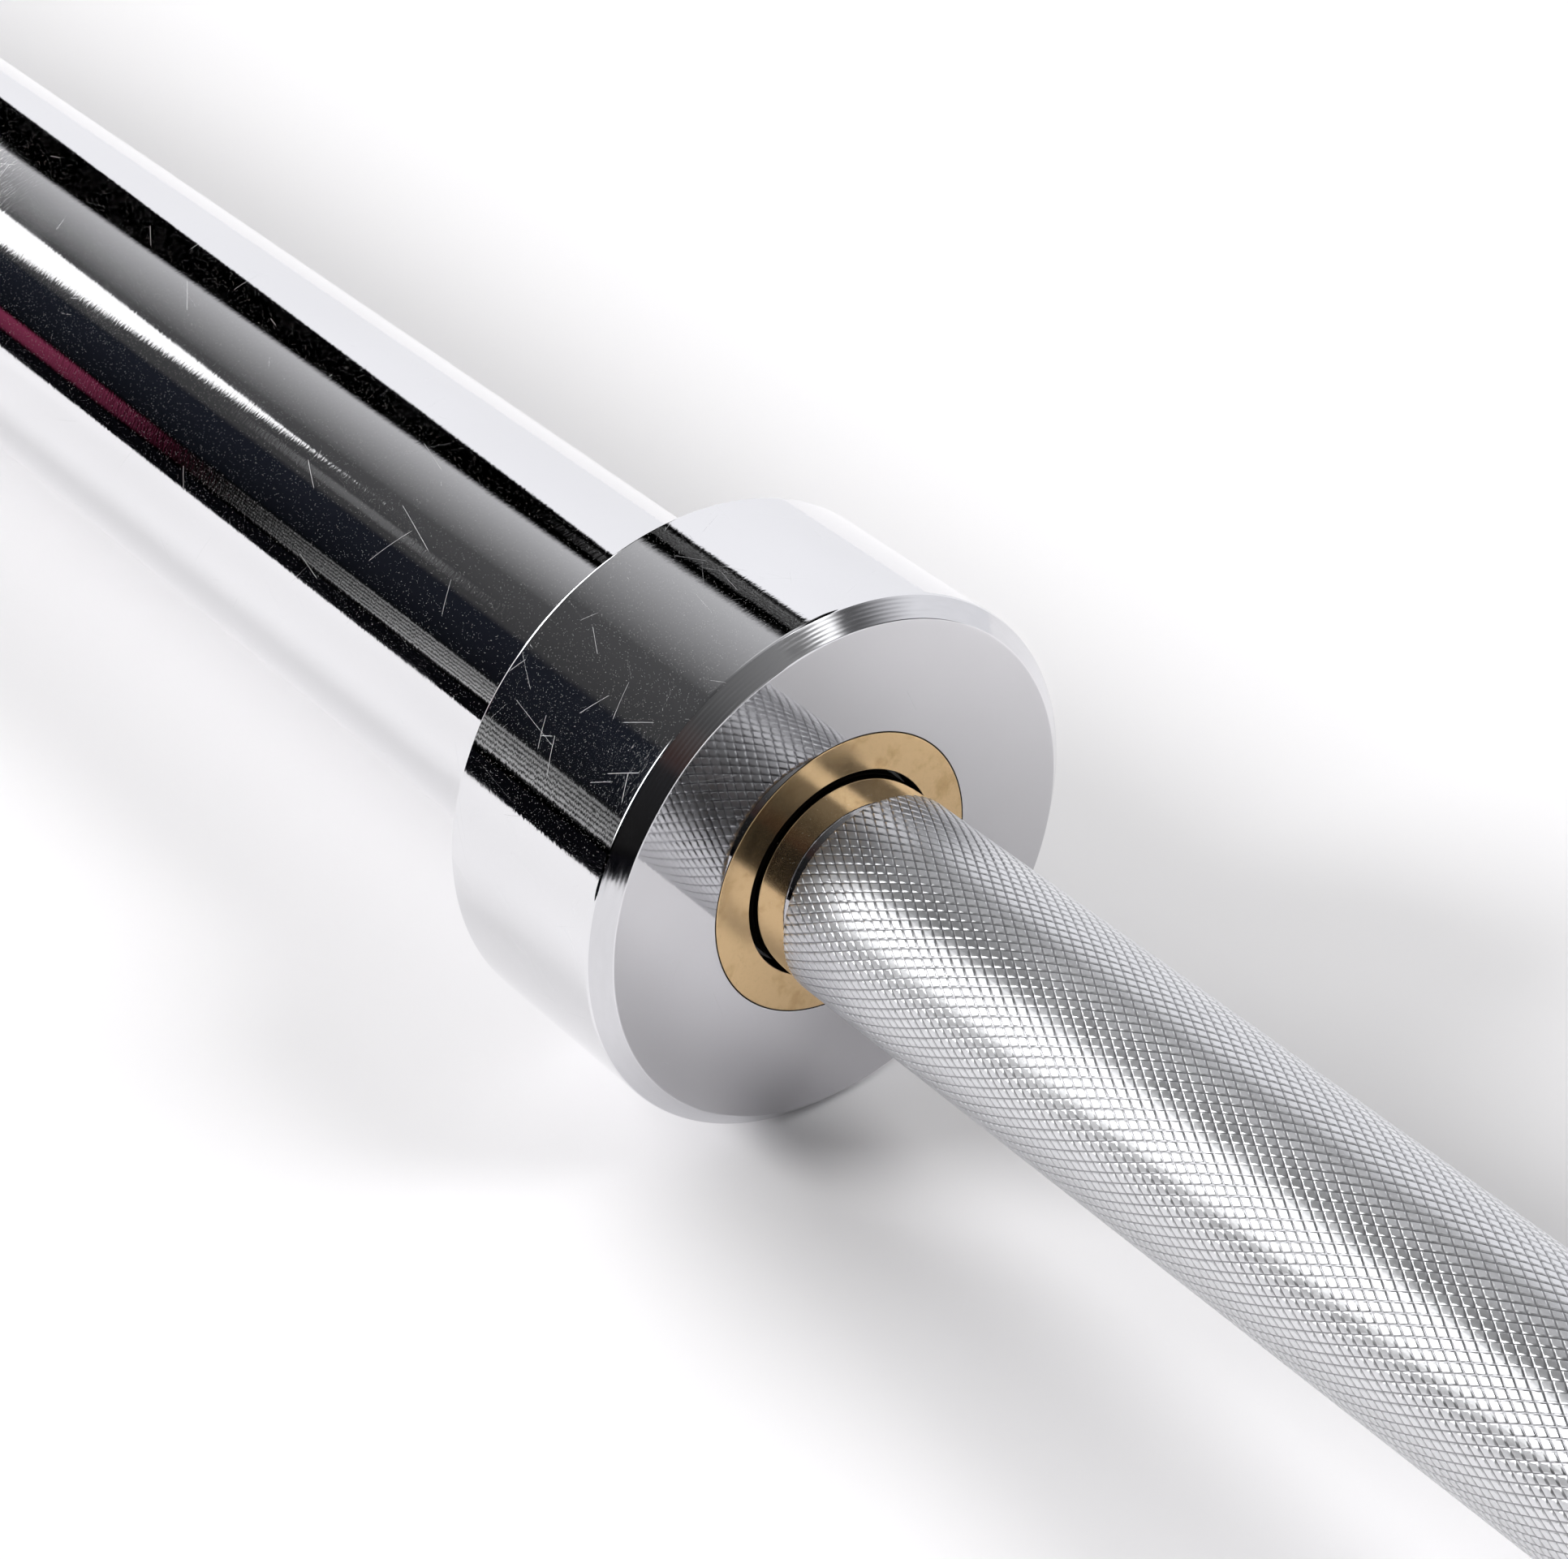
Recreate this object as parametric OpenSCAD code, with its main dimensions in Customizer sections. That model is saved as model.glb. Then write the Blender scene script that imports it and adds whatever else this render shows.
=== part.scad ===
// Straight barbell with two revolving sleeves on plain bushes. Millimetres, +Z up.
// The bar lies along X and the origin is at the middle of the shaft.

/* [Bar] */
// Length of the whole bar between the two end faces
bar_length = 2200; // [2180:5:2220]
// Distance between the inner faces of the two collars
grip_span = 1310; // [1300:1:1320]

/* [Shaft] */
// Diameter of the grip over the crests of the knurl
grip_d = 28; // [27.8:0.1:28.4]
// Radial step from the crests down to the smooth neck beside the collar
neck_step = 0.35; // [0.2:0.05:0.5]
// Length of the smooth neck outside the collar
neck_length = 6.6; // [4:0.2:10]
// Depth to which the neck reaches into the bush
neck_depth = 2.7; // [2:0.1:3.5]
// Radial step from the neck down to the journals on which the sleeves turn
shoulder_height = 1.15; // [1:0.05:1.4]
// Distance from the collar to the near edge of the smooth grip mark
mark_distance = 195; // [180:1:210]
// Width of the smooth grip mark
mark_width = 5; // [3:0.5:8]
// Depth of the smooth grip mark below the crests
mark_depth = 0.2; // [0.1:0.05:0.4]
// Length of the shaft beyond the outer bush's end face
tail_length = 9; // [8:0.5:12]
// Chamfer on the edge of the shaft's end
tail_chamfer = 1; // [0.5:0.1:2]

/* [Collar] */
// Outer diameter of the collar
collar_d = 74; // [70:0.5:78]
// Width of the collar along the bar
collar_width = 31.5; // [30:0.5:34]
// Radial reach of the chamfer round the collar's inner face
collar_chamfer_r = 2.4; // [1:0.1:4]
// Axial reach of the same chamfer
collar_chamfer_x = 2.2; // [1:0.1:4]
// Chamfer round the collar's outer face
collar_back_chamfer = 0.5; // [0.3:0.1:1]
// Depth of the relief in the collar's outer face, round the sleeve
relief_depth = 0.8; // [0.4:0.1:1.5]
// Radial room between the sleeve and the edge of that relief
relief_room = 0.6; // [0.4:0.1:1]
// Thickness of the collar's front wall, round the bush
collar_wall = 6; // [4:0.5:8]

/* [Sleeve tube] */
// Outer diameter of the sleeve
sleeve_d = 50; // [49.5:0.1:50.5]
// Radial step from the sleeve down to the spigot on which the collar is pressed
spigot_step = 2; // [1.5:0.25:2.5]
// Radial room between the tube's bore and the journal, between the two bushes
journal_room = 2; // [1:0.25:2.5]
// Chamfer on the outer edge of the sleeve's end
sleeve_chamfer = 1.5; // [0.5:0.1:3]
// Radial step from the outer bush's seat up to the mouth that takes the end cap
mouth_step = 2; // [1.6:0.1:2.4]
// Depth of the mouth
mouth_depth = 11; // [10:0.5:14]
// Chamfer on the edge of the mouth
mouth_chamfer = 0.6; // [0.3:0.1:1]
// Length of the free chamber between the outer bush and the mouth
chamber_length = 19; // [17:0.5:24]

/* [Bushes] */
// Radial width of the inner bush's face, round its recess
bush_face_width = 5.15; // [4.6:0.05:6]
// Length of the inner bush
inner_bush_length = 50; // [40:1:60]
// Length of the outer bush
outer_bush_length = 40; // [30:1:50]
// Chamfer on the inner edges of both bushes
bush_chamfer = 0.3; // [0.1:0.1:0.6]
// Chamfer on the inner bush's outer edge, beside the collar's face
bush_edge = 0.2; // [0.1:0.05:0.4]

/* [Washers] */
// Thickness of the inner thrust washer
inner_washer_t = 1; // [0.8:0.1:1.5]
// Thickness of the outer thrust washer
outer_washer_t = 2; // [1:0.1:2.5]
// Radial width of the outer thrust washer
outer_washer_width = 2.8; // [2.4:0.1:3.2]

/* [Snap rings] */
// Thickness of every snap ring
ring_t = 1.5; // [1.2:0.1:1.8]
// Depth of each snap-ring groove in its wall, radially
groove_depth = 1.2; // [0.8:0.1:1.4]
// Radial width of the rings
ring_width = 2.4; // [2.2:0.1:2.7]
// Radius of the ears at a ring's open ends
ear_r = 2; // [1.8:0.1:2.2]
// Diameter of the hole in each ear
ear_hole_d = 1.8; // [1.4:0.1:2]
// Width of the gap between the open ends
ring_gap = 5; // [4:0.5:7]

/* [End cap] */
// Thickness of the end cap
cap_t = 5.5; // [4:0.5:7]
// Radial width of the rim round the shallow dish in the end cap's face
cap_rim = 6; // [4:0.5:9]
// Depth of that dish
cap_dish_depth = 1; // [0.5:0.1:2]
// Chamfer on the end cap's outer edge
cap_chamfer = 0.6; // [0.3:0.1:1]
// Diameter of the turning centre in the end cap's face
cap_centre_d = 5; // [3:0.5:7]
// Depth of that turning centre
cap_centre_depth = 1.5; // [1:0.1:2]

/* [Clearances] */
// Radial width of the open gap round the neck in the inner bush
neck_gap = 0.7; // [0.5:0.1:1]
// Radial room round the inner thrust washer
inner_washer_room = 0.35; // [0.3:0.05:0.45]
// Radial room round the outer thrust washer, inside the ears of the bush's ring
outer_washer_room = 0.5; // [0.3:0.1:0.8]
// Radial running clearance between a bush and its journal
running_clearance = 0.05; // [0.02:0.01:0.1]
// Axial play of a sleeve at each thrust washer
end_play = 0.3; // [0.3:0.05:0.5]
// Free width of the shaft's snap-ring groove beside its ring
groove_play = 0.1; // [0.05:0.05:0.2]

/* [Hidden] */
$fn = 96;

// Positions along the right half of the bar
face_x = grip_span / 2;
end_x = bar_length / 2;
sleeve_start_x = face_x + collar_width;
spigot_end_x = face_x + collar_wall;
inner_bush_end_x = face_x + inner_bush_length;
shoulder_x = face_x + neck_depth;
inner_washer_end_x = shoulder_x + inner_washer_t;
recess_floor_x = inner_washer_end_x + end_play;
mouth_x = end_x - mouth_depth;
outer_bush_end_x = mouth_x - chamber_length;
outer_bush_start_x = outer_bush_end_x - outer_bush_length;
outer_washer_x = outer_bush_end_x + end_play;
shaft_ring_x = outer_washer_x + outer_washer_t;
tail_x = outer_bush_end_x + tail_length;
cap_ring_x = mouth_x + cap_t;
cap_dish_x = cap_ring_x - cap_dish_depth;
neck_start_x = face_x - neck_length;
mark_start_x = face_x - mark_distance - mark_width;
mark_end_x = face_x - mark_distance;

// Diameters, chained from the grip outwards, and from the sleeve inwards
neck_d = grip_d - 2 * neck_step;
journal_d = neck_d - 2 * shoulder_height;
shaft_groove_d = journal_d - 2 * groove_depth;
bush_bore_d = journal_d + 2 * running_clearance;
bush_lip_d = bush_bore_d + 2 * bush_chamfer;
bush_recess_d = neck_d + 2 * neck_gap;
inner_washer_d = bush_recess_d - 2 * inner_washer_room;
inner_bush_d = bush_recess_d + 2 * bush_face_width;
tube_bore = journal_d + 2 * journal_room;
outer_washer_d = journal_d + 2 * outer_washer_width;
bush_ring_groove_d = outer_washer_d + 2 * (outer_washer_room + ear_r + ring_width);
outer_bush_d = bush_ring_groove_d - 2 * groove_depth;
mouth_d = outer_bush_d + 2 * mouth_step;
cap_ring_groove_d = mouth_d + 2 * groove_depth;
cap_dish_d = mouth_d - 2 * cap_rim;
spigot_d = sleeve_d - 2 * spigot_step;
front_edge_d = collar_d - 2 * collar_chamfer_r;
back_edge_d = collar_d - 2 * collar_back_chamfer;
relief_d = sleeve_d + 2 * relief_room;

// How far a cutting shape reaches past the face that it cuts
cut = 1;

chrome = [0.80, 0.81, 0.83];
brass = [0.78, 0.62, 0.36];
steel = [0.50, 0.51, 0.53];

// A round bar of diameter d along X, from x0 to x1
module rod(d, x0, x1) {
    translate([x0, 0, 0])
        rotate([0, 90, 0])
            cylinder(d = d, h = x1 - x0);
}

// A cone along X, from diameter d0 at x0 to diameter d1 at x1
module taper(d0, d1, x0, x1) {
    translate([x0, 0, 0])
        rotate([0, 90, 0])
            cylinder(d1 = d0, d2 = d1, h = x1 - x0);
}

// The left end is the right end turned end for end
module turned() {
    rotate([0, 0, 180])
        children();
}

// The right half of the shaft, from the middle to its end
module half_shaft() {
    rod(grip_d, 0, mark_start_x);
    rod(grip_d - 2 * mark_depth, mark_start_x, mark_end_x);
    rod(grip_d, mark_end_x, neck_start_x);
    rod(neck_d, neck_start_x, shoulder_x);
    rod(journal_d, shoulder_x, shaft_ring_x - groove_play);
    rod(shaft_groove_d, shaft_ring_x - groove_play, shaft_ring_x + ring_t);
    rod(journal_d, shaft_ring_x + ring_t, tail_x - tail_chamfer);
    taper(journal_d, journal_d - 2 * tail_chamfer, tail_x - tail_chamfer, tail_x);
}

// The one-piece shaft
module shaft() {
    color(chrome)
        union() {
            half_shaft();
            turned()
                half_shaft();
        }
}

// The tube that carries the plates, with its spigot, bush seats and mouth
module sleeve_tube() {
    color(chrome)
        difference() {
            union() {
                rod(spigot_d, spigot_end_x, sleeve_start_x);
                rod(sleeve_d, sleeve_start_x, end_x - sleeve_chamfer);
                taper(sleeve_d, sleeve_d - 2 * sleeve_chamfer, end_x - sleeve_chamfer, end_x);
            }
            rod(tube_bore, spigot_end_x - cut, end_x + cut);
            rod(inner_bush_d, spigot_end_x - cut, inner_bush_end_x);
            rod(outer_bush_d, outer_bush_start_x, end_x + cut);
            rod(bush_ring_groove_d, outer_bush_end_x, outer_bush_end_x + ring_t);
            rod(mouth_d, mouth_x, end_x + cut);
            rod(cap_ring_groove_d, cap_ring_x, cap_ring_x + ring_t);
            taper(mouth_d, mouth_d + 2 * mouth_chamfer, end_x - mouth_chamfer, end_x);
        }
}

// The thick flange that stops the plates
module collar() {
    color(chrome)
        difference() {
            union() {
                taper(front_edge_d, collar_d, face_x, face_x + collar_chamfer_x);
                rod(collar_d, face_x + collar_chamfer_x, sleeve_start_x - collar_back_chamfer);
                taper(collar_d, back_edge_d, sleeve_start_x - collar_back_chamfer, sleeve_start_x);
            }
            rod(inner_bush_d, face_x - cut, spigot_end_x + cut);
            rod(spigot_d, spigot_end_x, sleeve_start_x + cut);
            rod(relief_d, sleeve_start_x - relief_depth, sleeve_start_x + cut);
        }
}

// The bush in the collar, its face flush with the collar's and recessed round the neck
module inner_bushing() {
    color(brass)
        difference() {
            union() {
                taper(inner_bush_d - 2 * bush_edge, inner_bush_d, face_x, face_x + bush_edge);
                rod(inner_bush_d, face_x + bush_edge, inner_bush_end_x);
            }
            rod(bush_bore_d, face_x - cut, inner_bush_end_x + cut);
            rod(bush_recess_d, face_x - cut, recess_floor_x);
            taper(bush_recess_d + 2 * bush_chamfer, bush_recess_d, face_x, face_x + bush_chamfer);
        }
}

// The bush near the sleeve's end
module outer_bushing() {
    color(brass)
        difference() {
            rod(outer_bush_d, outer_bush_start_x, outer_bush_end_x);
            rod(bush_bore_d, outer_bush_start_x - cut, outer_bush_end_x + cut);
            taper(bush_bore_d, bush_lip_d, outer_bush_end_x - bush_chamfer, outer_bush_end_x);
        }
}

// The washer that takes the thrust of the shaft's shoulder
module inner_thrust_washer() {
    color(steel)
        difference() {
            rod(inner_washer_d, shoulder_x, inner_washer_end_x);
            rod(journal_d, shoulder_x - cut, inner_washer_end_x + cut);
        }
}

// The washer between the outer bush and the shaft's snap ring
module outer_thrust_washer() {
    color(steel)
        difference() {
            rod(outer_washer_d, outer_washer_x, shaft_ring_x);
            rod(journal_d, outer_washer_x - cut, shaft_ring_x + cut);
        }
}

// Two ears on a snap ring at radius r, on either side of its gap, which faces +Z
module ears(r, x0) {
    side = ring_gap / 2 + ear_r;
    for (y = [-side, side])
        translate([x0, y, sqrt(r * r - y * y)])
            rotate([0, 90, 0])
                cylinder(r = ear_r, h = ring_t);
}

// The plier holes through the ears
module ear_holes(r, x0) {
    side = ring_gap / 2 + ear_r;
    for (y = [-side, side])
        translate([x0 - cut, y, sqrt(r * r - y * y)])
            rotate([0, 90, 0])
                cylinder(d = ear_hole_d, h = ring_t + 2 * cut);
}

// The slot that opens a snap ring of outer radius r
module ring_slot(r, x0) {
    translate([x0 - cut, -ring_gap / 2, 0])
        cube([ring_t + 2 * cut, ring_gap, r + 4 * ear_r]);
}

// A snap ring for a groove round a shaft, with ears that stand outwards
module outside_ring(inner_d, x0) {
    outer_r = inner_d / 2 + ring_width;
    color(steel)
        difference() {
            union() {
                rod(2 * outer_r, x0, x0 + ring_t);
                ears(outer_r, x0);
            }
            rod(inner_d, x0 - cut, x0 + ring_t + cut);
            ring_slot(outer_r, x0);
            ear_holes(outer_r, x0);
        }
}

// A snap ring for a groove in a bore, with ears that stand inwards
module inside_ring(outer_d, x0) {
    inner_r = outer_d / 2 - ring_width;
    color(steel)
        difference() {
            union() {
                difference() {
                    rod(outer_d, x0, x0 + ring_t);
                    rod(2 * inner_r, x0 - cut, x0 + ring_t + cut);
                }
                ears(inner_r, x0);
            }
            ring_slot(outer_d / 2, x0);
            ear_holes(inner_r, x0);
        }
}

// The ring that holds a sleeve on the shaft
module shaft_snap_ring() {
    outside_ring(shaft_groove_d, shaft_ring_x);
}

// The ring that holds the outer bush in the tube
module bushing_snap_ring() {
    inside_ring(bush_ring_groove_d, outer_bush_end_x);
}

// The ring that holds the end cap in the mouth
module cap_snap_ring() {
    inside_ring(cap_ring_groove_d, cap_ring_x);
}

// The plain disc that closes the sleeve's mouth
module end_cap() {
    color(chrome)
        difference() {
            union() {
                rod(mouth_d, mouth_x, cap_ring_x - cap_chamfer);
                taper(mouth_d, mouth_d - 2 * cap_chamfer, cap_ring_x - cap_chamfer, cap_ring_x);
            }
            rod(cap_dish_d, cap_dish_x, cap_ring_x + cut);
            taper(0, cap_centre_d, cap_dish_x - cap_centre_depth, cap_dish_x);
        }
}

shaft();
sleeve_tube();  // right_sleeve_tube
turned() sleeve_tube();  // left_sleeve_tube
collar();  // right_collar
turned() collar();  // left_collar
inner_bushing();  // right_inner_bushing
turned() inner_bushing();  // left_inner_bushing
outer_bushing();  // right_outer_bushing
turned() outer_bushing();  // left_outer_bushing
inner_thrust_washer();  // right_inner_thrust_washer
turned() inner_thrust_washer();  // left_inner_thrust_washer
outer_thrust_washer();  // right_outer_thrust_washer
turned() outer_thrust_washer();  // left_outer_thrust_washer
shaft_snap_ring();  // right_shaft_snap_ring
turned() shaft_snap_ring();  // left_shaft_snap_ring
bushing_snap_ring();  // right_bushing_snap_ring
turned() bushing_snap_ring();  // left_bushing_snap_ring
end_cap();  // right_end_cap
turned() end_cap();  // left_end_cap
cap_snap_ring();  // right_cap_snap_ring
turned() cap_snap_ring();  // left_cap_snap_ring
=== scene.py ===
"""Looks of a straight barbell with two revolving sleeves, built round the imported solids."""

import logging
import math
from dataclasses import dataclass, field
from enum import Enum
from typing import Callable, Optional, Union

import bmesh
import bpy
from mathutils import Euler, Matrix, Vector


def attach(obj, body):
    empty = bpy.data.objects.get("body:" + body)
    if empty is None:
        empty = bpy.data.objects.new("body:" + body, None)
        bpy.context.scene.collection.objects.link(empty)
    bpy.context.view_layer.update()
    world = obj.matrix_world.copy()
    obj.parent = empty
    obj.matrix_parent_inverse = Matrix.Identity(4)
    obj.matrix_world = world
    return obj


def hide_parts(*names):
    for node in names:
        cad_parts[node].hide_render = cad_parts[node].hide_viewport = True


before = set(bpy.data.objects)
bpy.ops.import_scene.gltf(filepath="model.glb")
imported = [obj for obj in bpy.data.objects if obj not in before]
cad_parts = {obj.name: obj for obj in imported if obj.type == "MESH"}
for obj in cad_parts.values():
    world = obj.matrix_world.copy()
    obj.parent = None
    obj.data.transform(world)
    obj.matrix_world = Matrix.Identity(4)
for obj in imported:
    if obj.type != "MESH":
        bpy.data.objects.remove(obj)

log = logging.getLogger("barbell")

MM = 0.001
ROUND_STEPS = 256
FULL_TURN = 2 * math.pi

# Sets the seed of a scratch's presence apart from the seed of its place
PRESENCE_SEED = 517.0

# Half the width of a polishing scratch, in millimetres
SCRATCH_HALF_WIDTH = 0.028

Socket = bpy.types.NodeSocket
Value = Union[float, Socket]
Colour = tuple[float, float, float]


class Side(Enum):
    """Which end of the bar a sub-assembly belongs to."""

    LEFT = "left"
    RIGHT = "right"

    @property
    def turn(self) -> Matrix:
        """The turn that brings the right end's shapes to this end."""
        angle = math.pi if self is Side.LEFT else 0.0
        return Matrix.Rotation(angle, 4, "Z")


class Reach(Enum):
    """Which half of the light tent a card hangs in."""

    BOTH = 0
    LEFT = -1
    RIGHT = 1


class Zone(Enum):
    """The differently finished zones of a turned piece, as material slots."""

    BODY = 0
    FACE = 1
    CHAMFER = 2


class Recipe:
    """A short way to write down one material's nodes."""

    def __init__(self, name: str) -> None:
        """Starts an empty material.

        Args:
            name: The material's name.
        """
        self.material = bpy.data.materials.new(name)
        self.material.use_nodes = True
        self.tree = self.material.node_tree
        self.tree.nodes.clear()
        self.output = self.add("ShaderNodeOutputMaterial")

    def add(self, kind: str, **settings: object) -> bpy.types.Node:
        """Adds a node.

        Args:
            kind: Blender's name of the node type.
            **settings: The node's own properties.

        Returns:
            The new node.
        """
        node = self.tree.nodes.new(kind)
        for key, value in settings.items():
            setattr(node, key, value)
        return node

    def feed(self, socket: Socket, value: object) -> None:
        """Links a socket, or sets its constant.

        Args:
            socket: The input to fill.
            value: Another node's output, or a constant.
        """
        if isinstance(value, bpy.types.NodeSocket):
            self.tree.links.new(value, socket)
        else:
            socket.default_value = value

    def math(self, operation: str, *values: Value, clamp: bool = False) -> Socket:
        """Works out a sum from one to three values.

        Args:
            operation: Blender's name of the operation.
            *values: Sockets or numbers.
            clamp: Whether the result is kept between 0 and 1.

        Returns:
            The result.
        """
        node = self.add("ShaderNodeMath", operation=operation, use_clamp=clamp)
        for socket, value in zip(node.inputs, values):
            self.feed(socket, value)
        return node.outputs[0]

    def place(self, scale: Colour = (1.0, 1.0, 1.0), turn: Colour = (0.0, 0.0, 0.0)) -> Socket:
        """Gives the place on the piece in millimetres, stretched and turned.

        Args:
            scale: How many pattern units a millimetre holds along each axis.
            turn: The turn in degrees, made before the stretch.

        Returns:
            The place as a vector.
        """
        where = self.add("ShaderNodeTexCoord").outputs["Object"]
        turned = self.add("ShaderNodeMapping", vector_type="POINT")
        self.feed(turned.inputs["Vector"], where)
        turned.inputs["Rotation"].default_value = [math.radians(a) for a in turn]
        sized = self.add("ShaderNodeVectorMath", operation="MULTIPLY")
        self.feed(sized.inputs[0], turned.outputs[0])
        sized.inputs[1].default_value = [s / MM for s in scale]
        return sized.outputs[0]

    def axis(self, name: str) -> Socket:
        """Gives one coordinate of the place on the piece, in metres."""
        where = self.add("ShaderNodeTexCoord").outputs["Object"]
        split = self.add("ShaderNodeSeparateXYZ")
        self.feed(split.inputs[0], where)
        return split.outputs[name]

    def radius(self) -> Socket:
        """Gives the distance from the bar's axis, in metres."""
        return self.math("POWER", self.math("ADD", self.math("POWER", self.axis("Y"), 2.0),
                                            self.math("POWER", self.axis("Z"), 2.0)), 0.5)

    def noise(self, where: Socket, scale: float = 1.0, detail: float = 2.0, rough: float = 0.5) -> Socket:
        """Gives smooth noise between 0 and 1.

        Args:
            where: The place to read it at.
            scale: The pattern's scale.
            detail: How many finer layers it has.
            rough: How strong these are.

        Returns:
            The noise value.
        """
        node = self.add("ShaderNodeTexNoise")
        self.feed(node.inputs["Vector"], where)
        node.inputs["Scale"].default_value = scale
        node.inputs["Detail"].default_value = detail
        node.inputs["Roughness"].default_value = rough
        return node.outputs["Fac"]

    def span(self, value: Value, low: float, high: float,
             to_low: float = 0.0, to_high: float = 1.0) -> Socket:
        """Maps a value smoothly from one span to another.

        Args:
            value: The value to map.
            low: Where the step begins.
            high: Where the step ends.
            to_low: The result below it.
            to_high: The result above it.

        Returns:
            The mapped value.
        """
        node = self.add("ShaderNodeMapRange", interpolation_type="SMOOTHSTEP")
        self.feed(node.inputs["Value"], value)
        node.inputs["From Min"].default_value = low
        node.inputs["From Max"].default_value = high
        node.inputs["To Min"].default_value = to_low
        node.inputs["To Max"].default_value = to_high
        return node.outputs["Result"]

    def rolled_flat(self) -> Socket:
        """Gives the place on a round piece, in metres, as if its surface were rolled out flat."""
        angle = self.math("ARCTAN2", self.axis("Y"), self.axis("Z"))
        flat = self.add("ShaderNodeCombineXYZ")
        self.feed(flat.inputs[0], self.axis("X"))
        self.feed(flat.inputs[1], self.math("MULTIPLY", angle, self.radius()))
        return flat.outputs[0]

    def end_on(self) -> Socket:
        """Gives the place on a face square to the bar, in metres."""
        flat = self.add("ShaderNodeCombineXYZ")
        self.feed(flat.inputs[0], self.axis("Y"))
        self.feed(flat.inputs[1], self.axis("Z"))
        return flat.outputs[0]

    def chance(self, *seeds: Socket) -> list[Socket]:
        """Draws three random values from one or two whole numbers.

        Args:
            *seeds: The whole numbers.

        Returns:
            Three values between 0 and 1.
        """
        where = self.add("ShaderNodeCombineXYZ")
        for socket, seed in zip(where.inputs, seeds):
            self.feed(socket, seed)
        node = self.add("ShaderNodeTexWhiteNoise", noise_dimensions="3D")
        self.feed(node.inputs["Vector"], where.outputs[0])
        split = self.add("ShaderNodeSeparateColor")
        self.feed(split.inputs[0], node.outputs["Color"])
        return list(split.outputs)

    def scratches(self, flat: Socket, turn: float, length: float, gap: float,
                  width: float, share: float) -> Socket:
        """Draws thin scratches that run one way, each at its own place.

        Args:
            flat: The place on the surface, in metres.
            turn: The turn of the scratches, in degrees.
            length: The longest scratch, in millimetres.
            gap: The spacing of the rows that they lie in, in millimetres.
            width: A scratch's half width, in millimetres.
            share: The share of places in a row that have one.

        Returns:
            Up to 1 on a scratch and 0 elsewhere.
        """
        turned = self.add("ShaderNodeMapping", vector_type="POINT")
        self.feed(turned.inputs["Vector"], flat)
        turned.inputs["Rotation"].default_value = (0.0, 0.0, math.radians(turn))
        split = self.add("ShaderNodeSeparateXYZ")
        self.feed(split.inputs[0], turned.outputs[0])
        run, across = split.outputs[0], split.outputs[1]
        # The rows wave a little, and each row's scratches begin at their own place.
        bend = self.math("SINE", self.math("MULTIPLY", run, 0.7 / (length * MM)))
        row = self.math("MULTIPLY_ADD", across, 1 / (gap * MM), self.math("MULTIPLY", bend, 0.8))
        number = self.math("FLOOR", row)
        shift = self.chance(number)[0]
        place = self.math("MULTIPLY_ADD", run, 1 / (length * MM), self.math("MULTIPLY", shift, 9.0))
        centre, extent, strength = self.chance(number, self.math("FLOOR", place))
        lane = self.math("MULTIPLY_ADD", centre, 0.6, 0.2)
        off = self.math("SUBTRACT", self.math("FRACT", row), lane)
        line = self.span(self.math("ABSOLUTE", off), 0.4 * width / gap, width / gap, 1.0, 0.0)
        middle = self.math("ABSOLUTE", self.math("SUBTRACT", self.math("FRACT", place), 0.5))
        inside = self.math("SUBTRACT", self.math("MULTIPLY", extent, 0.5), middle)
        drawn = self.chance(self.math("ADD", number, PRESENCE_SEED), self.math("FLOOR", place))[0]
        shown = self.math("LESS_THAN", drawn, share)
        ends = self.span(inside, 0.0, 0.06)
        faded = self.math("MULTIPLY", ends, self.math("MULTIPLY_ADD", strength, 0.7, 0.3))
        return self.math("MULTIPLY", self.math("MULTIPLY", line, faded), shown)

    def specks(self, spacing: float, size: float, share: float) -> Socket:
        """Draws scattered dots of dust.

        Args:
            spacing: The mean distance between places for a dot, in millimetres.
            size: A dot's radius as a share of that.
            share: The share of places that have one.

        Returns:
            1 on a dot and 0 elsewhere.
        """
        node = self.add("ShaderNodeTexVoronoi", feature="F1")
        self.feed(node.inputs["Vector"], self.place((1 / spacing, 1 / spacing, 1 / spacing)))
        dot = self.span(node.outputs["Distance"], size * 0.6, size, 1.0, 0.0)
        split = self.add("ShaderNodeSeparateColor")
        self.feed(split.inputs[0], node.outputs["Color"])
        chosen = self.math("LESS_THAN", split.outputs[0], share)
        return self.math("MULTIPLY", dot, chosen)

    def blend(self, factor: Value, first: object, second: object) -> Socket:
        """Mixes two colours.

        Args:
            factor: How much of the second shows.
            first: The first colour.
            second: The second colour.

        Returns:
            The mixed colour.
        """
        node = self.add("ShaderNodeMix", data_type="RGBA")
        self.feed(node.inputs[0], factor)
        for socket, value in ((node.inputs[6], first), (node.inputs[7], second)):
            self.feed(socket, (*value, 1.0) if isinstance(value, tuple) else value)
        return node.outputs[2]

    def bump(self, height: Socket, depth: float, under: Optional[Socket] = None) -> Socket:
        """Turns a height into a surface normal.

        Args:
            height: The height between 0 and 1.
            depth: How many millimetres a height of 1 stands for.
            under: A normal that this one is laid over.

        Returns:
            The normal.
        """
        node = self.add("ShaderNodeBump")
        node.inputs["Strength"].default_value = 1.0
        node.inputs["Distance"].default_value = depth * MM
        self.feed(node.inputs["Height"], height)
        if under is not None:
            self.feed(node.inputs["Normal"], under)
        return node.outputs[0]

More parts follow.
